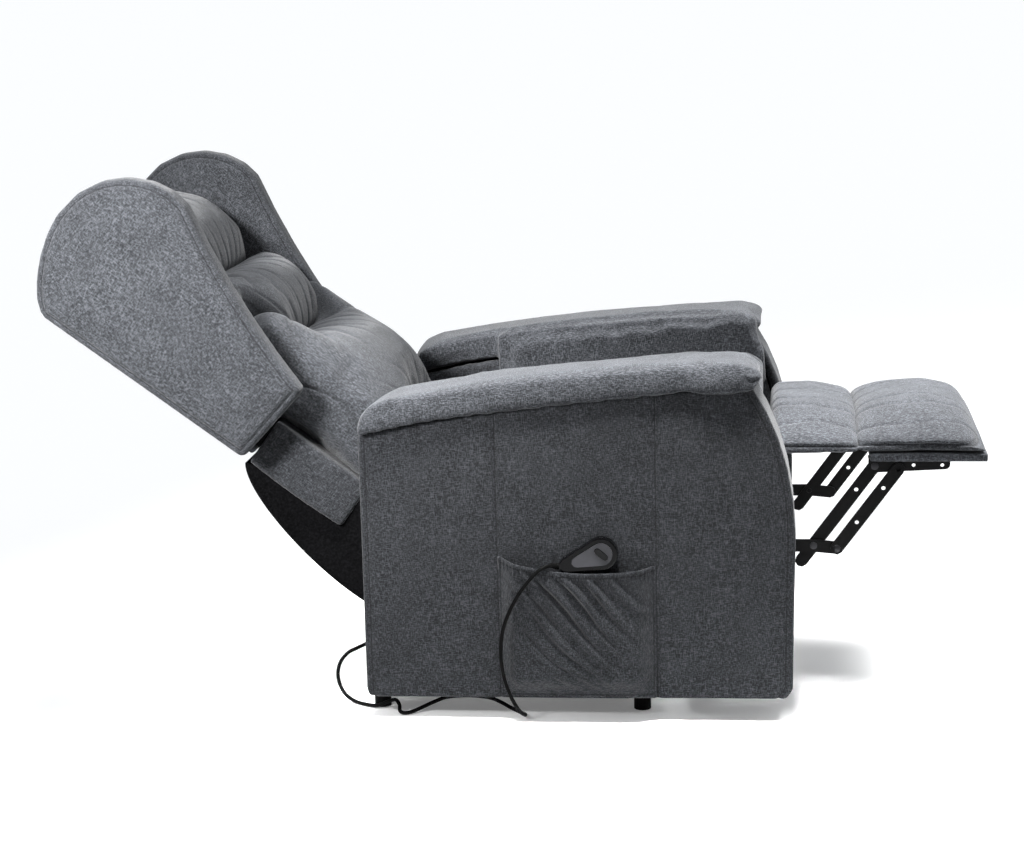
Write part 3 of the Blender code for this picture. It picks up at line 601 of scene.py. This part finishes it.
def finish_pillow(obj, look, low, high, half, crown, spots, seed, horns=0.0):
    """Crowns a pillow, folds it towards its creases at both ends and sews its side arcs."""
    subdivide(obj)
    local = to_back(points_of(obj))
    local[:, 1] = np.sign(local[:, 1]) * soft_limit(np.abs(local[:, 1]), half - 0.002, 0.012)
    local[:, 2] = -soft_limit(-local[:, 2], -low, 0.010)
    across = local[:, 1] / half
    up = (local[:, 2] - low) / (high - low)
    front = ease(local[:, 0], 0.07, 0.14)
    puff = (1 - np.clip(np.abs(across), 0, 1) ** 2.6) * np.clip(4 * up * (1 - up), 0, 1) ** 0.8
    local[:, 0] += crown * front * puff
    folds = pleats(local, high, 0.075, spots, seed)
    folds += pleats(local, low, 0.060, [(-s + 0.012, w * 0.8) for s, w in spots], seed + 5)
    local[:, 0] += front * folds * (1 - np.abs(np.clip(across, -1, 1)) ** 6)
    local[:, 0] += front * 0.0025 * wobble(local * [0.2, 1.0, 0.6], 16.0, seed + 9)
    local[:, 0] = np.maximum(local[:, 0], -0.0025)
    sweep_crease(local, horns)
    set_points(obj, from_back(local))
    local = to_back(points_of(obj))
    side_line = bezier([(0.030, low + 0.004), (0.120, low + 0.30 * (high - low)),
                        (0.128, high - 0.30 * (high - low)), (0.030, high - 0.004)], 12)
    gap, run = chain_distance(local[:, 0], local[:, 2], side_line)
    inside = np.where(np.abs(local[:, 1]) > half - 0.030, gap, 1.0)
    upholster(obj, look, [(inside, run)], 0.0025)
    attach(obj, "back")


def make_back_pillows():
    lower = pillow("pillow_lower", "back_lower_cushion", LOWER_CUSHION_HALF)
    lumbar = pillow("pillow_lumbar", "back_lumbar_cushion", CUSHION_HALF)
    head = pillow("pillow_head", "back_head_cushion", CUSHION_HALF)
    return lower, lumbar, head


def finish_back_pillows(pillows, look):
    lower, lumbar, head = pillows
    spots = [(-0.150, 0.006), (-0.105, 0.008), (-0.060, 0.006), (-0.022, 0.009), (0.030, 0.006),
             (0.070, 0.009), (0.118, 0.007), (0.165, 0.005)]
    closer = [(s * 0.8, w) for s, w in spots]
    finish_pillow(lower, look, low=0.050, high=0.316, half=LOWER_CUSHION_HALF, crown=0.020,
                  spots=spots, seed=1.0, horns=0.026)
    finish_pillow(lumbar, look, low=0.318, high=0.505, half=CUSHION_HALF, crown=0.016,
                  spots=spots[::-1], seed=2.0)
    finish_pillow(head, look, low=0.507, high=0.740, half=CUSHION_HALF, crown=0.003,
                  spots=closer, seed=3.0)
    nodes = ("back_lower_cushion", "back_lumbar_cushion", "back_head_cushion")
    for obj, node in zip(pillows, nodes):
        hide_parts(node)


def slab(name, outline, half, voxel):
    """A padded panel across the chair from an outline in the back's frame."""
    mesh = bmesh.new()
    rows = []
    for y in (-half, half):
        local = np.array([(x, y, z) for x, z in outline])
        rows.append([mesh.verts.new(p) for p in from_back(local)])
    mesh.faces.new(rows[0])
    mesh.faces.new(rows[1][::-1])
    count = len(outline)
    for i in range(count):
        j = (i + 1) % count
        mesh.faces.new((rows[0][i], rows[1][i], rows[1][j], rows[0][j]))
    return remesh(from_bmesh(name, mesh), voxel, 3)


def make_back_shell(look, shade):
    """The upholstered lower box and the rear panel, which turns over the frame at the top."""
    box = remesh(from_cad("back_box", "back_lower_box"), 0.0055, 4)
    local = to_back(points_of(box))
    side = ease(np.abs(local[:, 1]), 0.225, 0.236)
    local[:, 1] += np.sign(local[:, 1]) * side * 0.003 * bump(local[:, 2], 0.14, 0.09)
    local[:, 0] -= 0.004 * ease(-local[:, 0], 0.06, 0.089) * bump(local[:, 2], 0.14, 0.10)
    set_points(box, from_back(local))
    # The lower box wears the darker, shaded copy of the cloth: a tone that paints shade on it.
    upholster(box, shade)
    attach(box, "back")
    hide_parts("back_lower_box")

    outline = [(-0.0695, 0.2487), (-0.0520, 0.2487), (-0.0520, 0.7080), (-0.0040, 0.7080),
               (-0.0040, 0.7400), (-0.0240, 0.7440), (-0.0520, 0.7350), (-0.0690, 0.7050)]
    rear = slab("back_rear_cover", outline, CUSHION_HALF, 0.0055)
    local = to_back(points_of(rear))
    belly = bump(local[:, 1], 0.0, 0.17) * bump(local[:, 2], 0.47, 0.17)
    local[:, 0] -= 0.006 * belly * ease(-local[:, 0], 0.055, 0.068)
    set_points(rear, from_back(local))
    seams = [(local[:, 2] - 0.315, local[:, 1]), (local[:, 2] - 0.690, local[:, 1])]
    upholster(rear, look, seams, 0.0020)
    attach(rear, "back")
    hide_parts("back_rear_panel")


# ---------------------------------------------------------------- arms

def arm_top_line():
    curve = bezier([(-0.2675, 0.524), (0.050, 0.590), (0.4275, 0.606)], 12)
    return [(x + MID[0], z) for x, z in curve]


def arm_front_line():
    curve = bezier([(0.4275, 0.606), (0.5135, 0.4785), (0.5015, 0.281)], 14)
    return [(x + MID[0], z) for x, z in [*curve, (0.498, 0.060), (0.486, 0.042)]]


def make_arm_shells(look):
    for side, out in (("right", -1), ("left", 1)):
        shell = remesh(from_cad(f"arm_cover_{side}", f"arm_shell_{side}"), 0.0045, 3)
        points = points_of(shell)
        outer = ease(out * (points[:, 1] - MID[1]), 0.345, 0.358)
        gap, run = chain_distance(points[:, 0], points[:, 2], arm_front_line())
        soft = ease(gap, 0.0, 0.10) * ease(points[:, 2], 0.04, 0.12)
        wave = wobble(points * [1.0, 0.0, 0.7], 7.0, 11.0) * 0.0022
        points[:, 1] += out * outer * soft * (wave + 0.0015)
        set_points(shell, points)
        x = points[:, 0] - MID[0]
        on_face = outer > 0.02
        seams = [(np.where(on_face, x - place, 1.0), points[:, 2]) for place in ARM_PANEL_SEAMS]
        seams.append((np.where(on_face, gap - 0.0135, 1.0), run))
        upholster(shell, look, seams, 0.0016)
        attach(shell, "chair")
        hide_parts(f"arm_shell_{side}")

        inner = remesh(from_cad(f"arm_lining_{side}", f"arm_inner_panel_{side}"), 0.006, 3)
        upholster(inner, look)
        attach(inner, "chair")
        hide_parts(f"arm_inner_panel_{side}")


def start_arm_pads():
    pads = []
    for side in ("right", "left"):
        pads.append(remesh(from_cad(f"arm_rest_{side}", f"arm_pad_{side}"), 0.0055, 5))
    return pads


def finish_arm_pads(pads, look):
    """Rolls the pads over the arms' outer edges, with gathers along the seam under them."""
    for pad, side, out in zip(pads, ("right", "left"), (-1, 1)):
        subdivide(pad)
        points = points_of(pad)
        across = out * (points[:, 1] - MID[1])
        x = points[:, 0] - MID[0]
        under, _ = chain_distance(points[:, 0], points[:, 2], arm_top_line())
        outer = ease(across, 0.350, 0.366)
        roll = outer * bump(under, 0.012, 0.022)
        points[:, 1] += out * 0.0080 * roll
        points[:, 2] -= 0.0120 * ease(across, 0.356, 0.368) * bump(under, 0.0, 0.020)
        gather = np.array([noise.noise(Vector((x * 95.0, 0.4 * z * 95.0, 2.0)))
                           for x, _, z in points])
        points[:, 1] += out * 0.0034 * gather * outer * np.exp(-under / 0.014)
        nose = ease(x, 0.385, 0.440) * outer
        pucker = np.array([noise.noise(Vector((x * 60.0, 0.0, z * 130.0))) for x, _, z in points])
        points[:, 1] += out * 0.0055 * nose * pucker
        top = ease(points[:, 2], 0.56, 0.60)
        points[:, 2] += 0.0030 * top * wobble(points * [0.5, 1.0, 0.2], 12.0, 4.0)
        drape = ease(-across, -0.240, -0.226)
        points[:, 1] -= out * 0.0020 * drape * wobble(points * [1.0, 0.0, 0.8], 9.0, 6.0)
        set_points(pad, points)
        # The dark line drawn along the pad's lower edge, with no groove, is partly the seam under
        # the roll and partly painted shadow beneath the roll.
        upholster(pad, look, [(np.where(across > 0.352, under - 0.0045, 1.0), x)], 0.0)
        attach(pad, "chair")
        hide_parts(f"arm_pad_{side}")


# ---------------------------------------------------------------- pocket

def pocket_standoff(x, z, top):
    """How far the pocket's cloth stands out from the arm, with diagonal folds under the hem."""
    sewn = ease(x - POCKET_REAR, 0.0, 0.034) * ease(POCKET_FRONT - x, 0.0, 0.034)
    sewn *= ease(z - POCKET_LOW, 0.0, 0.045)
    drop = top - z
    slope = 0.80 * (x - 0.08) + 0.60 * (z - top) - 0.9 * drop * drop
    swirl = 0.012 * noise.noise(Vector((x * 9.0, z * 9.0, 0.5)))
    fold = sin(2 * pi * (slope + swirl) / 0.030) + 0.5 * sin(2 * pi * (slope + 2 * swirl) / 0.017)
    middle = bump(x, 0.110, 0.095)
    depth = 0.0062 * fold * middle * ease(drop, 0.004, 0.030) * np.exp(-drop / 0.13)
    gather = 0.0017 * sin(2 * pi * x / 0.0066) * bump(drop, 0.012, 0.010)
    sag = 0.0035 * noise.noise(Vector((x * 11.0, z * 11.0, 4.0))) * ease(drop, 0.03, 0.10)
    hem_roll = 0.0016 * bump(drop, 0.004, 0.004)
    return 0.0012 + sewn * (0.0215 + depth + sag) + gather + hem_roll


def make_pocket(look):
    """The gathered pocket: a cloth sewn down on three sides, slack under its elastic hem."""
    hem = bezier([(POCKET_FRONT, 0.288), (0.105, 0.262), (POCKET_REAR, 0.304)], 60)[::-1]
    hem_x = [p[0] for p in hem]
    hem_z = [p[1] for p in hem]
    columns, rows = 140, 120
    mesh = bmesh.new()
    grid = []
    for i in range(columns + 1):
        x = POCKET_REAR + i / columns * (POCKET_FRONT - POCKET_REAR)
        top = float(np.interp(x, hem_x, hem_z))
        line = []
        for j in range(rows + 1):
            z = POCKET_LOW + j / rows * (top - POCKET_LOW)
            y = MID[1] - ARM_FACE - pocket_standoff(x, z, top)
            line.append(mesh.verts.new((x + MID[0], y, z)))
        grid.append(line)
    skin(mesh, grid)
    pocket = thicken(from_bmesh("pocket", mesh), 0.0020, 1.0)
    points = points_of(pocket)
    points[:, 1] = np.minimum(points[:, 1], MID[1] - ARM_FACE - 0.0002)
    set_points(pocket, points)
    x, z = points[:, 0] - MID[0], points[:, 2]
    top = np.interp(x, hem_x, hem_z)
    seams = [(x - POCKET_REAR - 0.0035, z), (POCKET_FRONT - 0.0035 - x, z),
             (z - POCKET_LOW - 0.0045, x), (top - z - 0.0085, x)]
    upholster(pocket, look, seams)
    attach(pocket, "chair")
    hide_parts("side_pocket")


# ---------------------------------------------------------------- seat and legrest cushions

def start_flat_cushion(name, node, voxel):
    return remesh(from_cad(name, node), voxel, 4)


def edge_swell(x, y, edges):
    """The share of its full height that a cushion keeps near its sides, rear and front end."""
    swell = np.ones(len(x))
    for left, far, share in ((1 - np.abs(y), 0.75, edges[0]), (x, 0.14, edges[1]),
                             (1 - x, 0.25 if edges[2] < 0.5 else 0.14, edges[2])):
        arch = np.sin(np.clip(left / far, 0.0, 1.0) * pi / 2) ** 0.8
        swell *= share + (1 - share) * arch
    return np.maximum(swell, min(edges))


def cushion_folds(points, y, seed):
    """Seven shallow folds that run along the chair."""
    folds = np.zeros(len(points))
    for index in range(7):
        spot = -0.78 + 0.26 * index + 0.05 * sin(index * 2.3)
        drift = 0.05 * wobble(points * [1.0, 0.3, 0.0], 9.0, seed + index)
        folds -= 0.0034 * bump(y + drift, spot, 0.016 + 0.006 * (index % 2))
    return folds


def finish_flat_cushion(obj, node, body, look, half, crown, base, seed, edges=(1, 1, 1),
                        reach=(0, 0), tucked=0.0):
    """A cushion that lies flat on its board: crowned on top, with folds and a boxing seam.

    The edges are the heights left at the sides, the rear and the front end, as shares of the
    full height; the reach is how far the upper part leans out at the rear and the front end."""
    low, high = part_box(node)
    subdivide(obj)
    points = points_of(obj)
    x = (points[:, 0] - low.x) / (high.x - low.x)
    y = (points[:, 1] - MID[1]) / half
    top = ease(points[:, 2], base + 0.015, high.z - 0.008)
    length = np.maximum(x, 0.5) if edges[1] == 1 else x
    puff = np.clip(1 - np.abs(y) ** 2.4, 0, 1) * np.clip(4 * length * (1 - length), 0, 1) ** 0.5
    rise = np.clip(points[:, 2] - base, 0.0, None)
    swell = edge_swell(x, y, edges)
    lean = ease(points[:, 2], base + 0.006, base + 0.022)
    points[:, 0] += lean * (reach[1] * ease(x, 0.75, 0.98) - reach[0] * ease(1 - x, 0.75, 0.98))
    points[:, 2] = base + np.minimum(rise, points[:, 2] - base) * swell
    points[:, 2] += crown * top * puff
    folds = cushion_folds(points, y, seed)
    ends = np.exp(-x / 0.22) + np.exp(-(1 - x) / 0.22)
    points[:, 2] += top * folds * np.clip(0.25 + ends, 0, 1)
    points[:, 2] += top * 0.0022 * wobble(points * [0.6, 1.0, 0.0], 15.0, seed)
    points[:, 2] = np.maximum(points[:, 2], base)
    tuck = tucked * (1 - ease(points[:, 2], base + 0.001, base + 0.006))
    points[:, 1] -= tuck * np.sign(points[:, 1] - MID[1]) * ease(np.abs(y), 0.7, 0.95)
    points[:, 0] -= tuck * ease(x, 0.8, 0.98)
    set_points(obj, points)
    end = np.minimum(points[:, 0] - low.x, high.x - points[:, 0])
    side = np.minimum(half - np.abs(points[:, 1] - MID[1]), end)
    rim = np.where(side < 0.030, points[:, 2] - (base + 0.0145), 1.0)
    upholster(obj, look, [(rim, points[:, 0] + points[:, 1])], 0.0040)
    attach(obj, body)
    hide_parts(node)


def make_footrest_board(look):
    """The board under the outer cushion, in a wrap of the same cloth that hangs just below it."""
    board = remesh(from_cad("footrest_wrap", "footrest_board"), 0.0040, 2)
    points = points_of(board)
    points[:, 2] -= 0.0045 * (points[:, 2] < points[:, 2].mean())
    set_points(board, points)
    upholster(board, look)
    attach(board, "footrest")
    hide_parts("footrest_board")


# ---------------------------------------------------------------- cloth under the back

def blend_under_back(cloth):
    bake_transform(cloth)


def make_dust_cover(look):
    """A slack black cloth from the back's lower edge down to the chassis."""
    outer = bezier([(-0.5020, DUST_CLOTH_EDGE), (-0.505, 0.385), (-0.380, 0.235),
                    (-0.2750, 0.172)], 36)
    half, columns = 0.231, 60
    mesh = bmesh.new()
    grid = []
    for j in range(columns + 1):
        y = -half + 2 * half * j / columns
        line = []
        for i, (x, z) in enumerate(outer):
            slack = 0.006 * noise.noise(Vector((x * 8.0, y * 7.0, z * 8.0)))
            slack *= sin(pi * i / (len(outer) - 1)) * (1 - (y / half) ** 4)
            line.append(mesh.verts.new((x + slack + MID[0], y + MID[1], z + slack)))
        grid.append(line)
    skin(mesh, grid)
    cover = thicken(from_bmesh("dust_cloth", mesh), CLOTH_THICKNESS)
    wear(cover, look)
    blend_under_back(cover)
    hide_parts("dust_cover")
    return outer


def make_side_gussets(look, outer):
    """Black cloth that closes the wedge at each side between the dust cover and the back box."""
    box_foot = from_back(np.array([(-0.020, 0.0, 0.0405)]))[0]
    start = np.array([-0.5020 + MID[0], 0.0, DUST_CLOTH_EDGE])
    steps = 14
    for side, out in (("right", -1), ("left", 1)):
        mesh = bmesh.new()
        grid = []
        for i, (x, z) in enumerate(outer):
            t = i / (len(outer) - 1)
            lower = np.array([x + MID[0], 0.0, z])
            upper = start + (box_foot - start) * t
            line = []
            for j in range(steps + 1):
                point = lower + (upper - lower) * j / steps
                pull = 0.010 * sin(pi * j / steps) * sin(pi * t)
                y = out * (0.2325 - pull) + MID[1]
                line.append(mesh.verts.new((point[0], y, point[2])))
            grid.append(line)
        skin(mesh, grid)
        bmesh.ops.remove_doubles(mesh, verts=mesh.verts, dist=1e-6)
        gusset = thicken(from_bmesh(f"side_gusset_{side}", mesh), CLOTH_THICKNESS)
        wear(gusset, look)
        blend_under_back(gusset)


# ---------------------------------------------------------------- hardware

def cord_route():
    """The hand control's cord, from the gland at the rear to the hand control's tail."""
    return [
        (-0.2746, -0.1700, 0.0830), (-0.2850, -0.1702, 0.0832), (-0.2950, -0.1775, 0.0842),
        (-0.3020, -0.1940, 0.0845), (-0.3125, -0.2100, 0.0830), (-0.3264, -0.2220, 0.0780),
        (-0.3380, -0.2360, 0.0650), (-0.3420, -0.2470, 0.0470), (-0.3375, -0.2570, 0.0285),
        (-0.3260, -0.2690, 0.0140), (-0.3070, -0.2840, 0.0055), (-0.2830, -0.2995, 0.0040),
        (-0.2580, -0.3110, 0.0060), (-0.2380, -0.3125, 0.0140), (-0.2235, -0.3150, 0.0185),
        (-0.2150, -0.3250, 0.0125), (-0.2120, -0.3375, 0.0050), (-0.2030, -0.3450, 0.0038),
        (-0.1900, -0.3400, 0.0045), (-0.1750, -0.3280, 0.0080), (-0.1511, -0.3165, 0.0165),
        (-0.1280, -0.3110, 0.0235), (-0.0900, -0.3100, 0.0265), (-0.0518, -0.3105, 0.0235),
        (-0.0310, -0.3130, 0.0165), (-0.0110, -0.3200, 0.0080), (0.0060, -0.3310, 0.0040),
        (0.0175, -0.3450, 0.0040), (0.0190, -0.3620, 0.0090), (0.0130, -0.3800, 0.0210),
        (0.0050, -0.3905, 0.0385), (-0.0040, -0.3935, 0.0600), (-0.0130, -0.3940, 0.0900),
        (-0.0175, -0.3940, 0.1300), (-0.0140, -0.3945, 0.1700), (-0.0040, -0.3945, 0.2020),
        (0.0110, -0.3945, 0.2330), (0.0280, -0.3940, 0.2580), (0.0480, -0.3930, 0.2810),
        (0.0620, -0.3895, 0.2900), (0.0750, -0.3800, 0.2915), (0.0850, -0.3730, 0.2890),
    ]


def smooth_path(route, steps):
    """A curve through every point of the route."""
    ends = [Vector(route[0]) * 2 - Vector(route[1]), Vector(route[-1]) * 2 - Vector(route[-2])]
    stops = [ends[0], *[Vector(p) for p in route], ends[1]]
    points = []
    for a, b, c, d in zip(stops, stops[1:], stops[2:], stops[3:]):
        for i in range(steps):
            t = i / steps
            points.append(0.5 * (2 * b + (c - a) * t + (2 * a - 5 * b + 4 * c - d) * t ** 2
                                 + (3 * b - a - 3 * c + d) * t ** 3))
    return points + [Vector(route[-1])]


def make_cord(looks):
    points = [p + Vector(MID) for p in smooth_path(cord_route(), 6)]
    curve = bpy.data.curves.new("control_cord", "CURVE")
    curve.dimensions = "3D"
    curve.bevel_depth = 0.0035
    curve.bevel_resolution = 5
    curve.use_fill_caps = True
    spline = curve.splines.new("POLY")
    spline.points.add(len(points) - 1)
    for place, point in zip(spline.points, points):
        place.co = (*point, 1.0)
    cord = bpy.data.objects.new("control_cord", curve)
    scene.collection.objects.link(cord)
    curve.materials.append(looks["lead"])
    ends = [("gland_boot", points[0], points[2] - points[0], -0.012, 0.016),
            ("handset_boot", points[-1], points[-4] - points[-1], -0.002, 0.014)]
    boots = []
    for name, start, along, root, tip in ends:
        ribs = [(0.0062, root), (0.0066, 0.000), (0.0052, 0.002), (0.0060, 0.004), (0.0048, 0.006),
                (0.0055, 0.008), (0.0044, 0.010), (0.0048, 0.012), (0.0039, tip)]
        boots.append(lathe(name, start, along, ribs, looks["rubber"]))
        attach(boots[-1], "chair")
    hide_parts("cord_gland")
    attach(cord, "chair")
    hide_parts("handset_cord")


def lathe(name, start, along, profile, look, sides=24):
    """A turned piece from (radius, distance) pairs along a direction, closed at both ends."""
    mesh = bmesh.new()
    turn = Vector(along).to_track_quat("Z", "Y").to_matrix()
    rings = []
    for radius, far in profile:
        ring = []
        for i in range(sides):
            a = 2 * pi * i / sides
            spoke = turn @ Vector((radius * cos(a), radius * sin(a), far))
            ring.append(mesh.verts.new(Vector(start) + spoke))
        rings.append(ring)
    for a, b in zip(rings, rings[1:]):
        for i in range(sides):
            mesh.faces.new((a[i], a[(i + 1) % sides], b[(i + 1) % sides], b[i]))
    mesh.faces.new(rings[0][::-1])
    mesh.faces.new(rings[-1])
    made = from_bmesh(name, mesh)
    made.data.materials.append(look)
    made.data.shade_smooth()
    made.data.set_sharp_from_angle(angle=radians(40))
    return made


def make_rivets(looks):
    """Rivet heads on the legrest's pivots."""
    joints = {joint["name"]: joint for joint in frame["joints"]}
    outer = {"legrest": ("legrest_swing_link", "chair"),
             "front_links": ("legrest_swing_link", "legrest_swing"),
             "rear_links": ("legrest_rear_link", "rear_links"),
             "footrest": ("footrest_bracket", "footrest")}
    for name, (node, body) in outer.items():
        place = joints[name]["pos_m"]
        for side, out in (("right", -1), ("left", 1)):
            low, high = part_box(f"{node}_{side}")
            edge = low.y if out < 0 else high.y
            if name != "rear_links":
                edge = MID[1] + out * SWING_LINK_FACE
            start = (place[0], edge - out * 0.0002, place[2])
            head = [(0.0068, 0.0), (0.0068, 0.0006), (0.0055, 0.0009)]
            if name == "rear_links":
                head = [(0.0068, 0.0), (0.0068, 0.0008), (0.0058, 0.0018), (0.0036, 0.0026),
                        (0.0012, 0.0030)]
            rivet = lathe(f"rivet_{name}_{side}", start, (0, out, 0), head, looks["zinc"], 20)
            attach(rivet, body)


def dress_hardware(looks):
    """Better materials for the CAD nodes that stay."""
    by_start = [
        ("foot_", "rubber"), ("handset_shell", "gloss"), ("handset_face", "face"),
        ("handset_rocker", "key"), ("control_box", "motor"), ("seat_deck", "felt"),
        ("back_frame", "felt"), ("back_hinge", "steel"), ("recline_lever", "steel"),
        ("lift_actuator_rod", "rod"), ("recline_actuator_rod", "rod"),
        ("legrest_actuator_rod", "rod"), ("lift_actuator_motor", "motor"),
        ("recline_actuator_motor", "motor"), ("legrest_actuator_motor", "motor"),
        ("base_", "steel"), ("lift_yoke", "steel"),
        ("tilt_link", "steel"), ("chassis_", "steel"), ("legrest_", "steel"),
        ("footrest_bracket", "steel"),
    ]
    for name, node in frame["nodes"].items():
        if node.hide_render:
            continue
        for start, look in by_start:
            if name.startswith(start):
                node.material_slots[0].link = "OBJECT"
                node.material_slots[0].material = looks[look]
                break
        else:
            raise RuntimeError(f"no material for {name}")


def main():
    make_camera()
    make_studio()
    looks = make_materials()
    make_cord(looks)

    pillows = make_back_pillows()
    pads = start_arm_pads()
    seat = start_flat_cushion("seat_pad", "seat_cushion", 0.008)
    rest = start_flat_cushion("legrest_pad", "footrest_cushion", 0.0065)
    bridge = start_flat_cushion("bridge_pad", "bridge_cushion", 0.0065)
    free, upward = (1.0, 1.0, 1.0), (0.0, 0.2, 1.0)
    inflate([(pillows[0], 4.0, 0.020, free), (pillows[1], 4.0, 0.020, free),
             (pillows[2], 4.0, 0.016, free), (pads[0], 3.0, 0.006, free),
             (pads[1], 3.0, 0.006, free), (seat, 4.0, 0.012, upward),
             (rest, 4.0, 0.006, upward), (bridge, 4.0, 0.006, upward)])
    finish_back_pillows(pillows, looks["back"])
    finish_arm_pads(pads, looks["pad"])
    finish_flat_cushion(seat, "seat_cushion", "chair", looks["seat"], half=0.2195, crown=0.012,
                        base=0.3933, seed=20.0)
    finish_flat_cushion(rest, "footrest_cushion", "footrest", looks["rest"], half=LEGREST_HALF,
                        crown=0.020, base=0.4629, seed=30.0, edges=(0.36, 0.90, 0.36),
                        reach=(0.013, 0.0), tucked=0.006)
    finish_flat_cushion(bridge, "bridge_cushion", "bridge", looks["rest"], half=LEGREST_HALF,
                        crown=0.018, base=0.4600, seed=40.0, edges=(0.38, 1.0, 0.90),
                        reach=(-0.004, 0.011), tucked=0.004)
    make_footrest_board(looks["rest"])
    make_wings(looks["wing"])
    make_back_shell(looks["back"], looks["shade"])
    make_arm_shells(looks["side"])
    make_pocket(looks["pocket"])
    outer = make_dust_cover(looks["felt"])
    make_side_gussets(looks["felt"], outer)
    make_rivets(looks)
    dress_hardware(looks)


main()
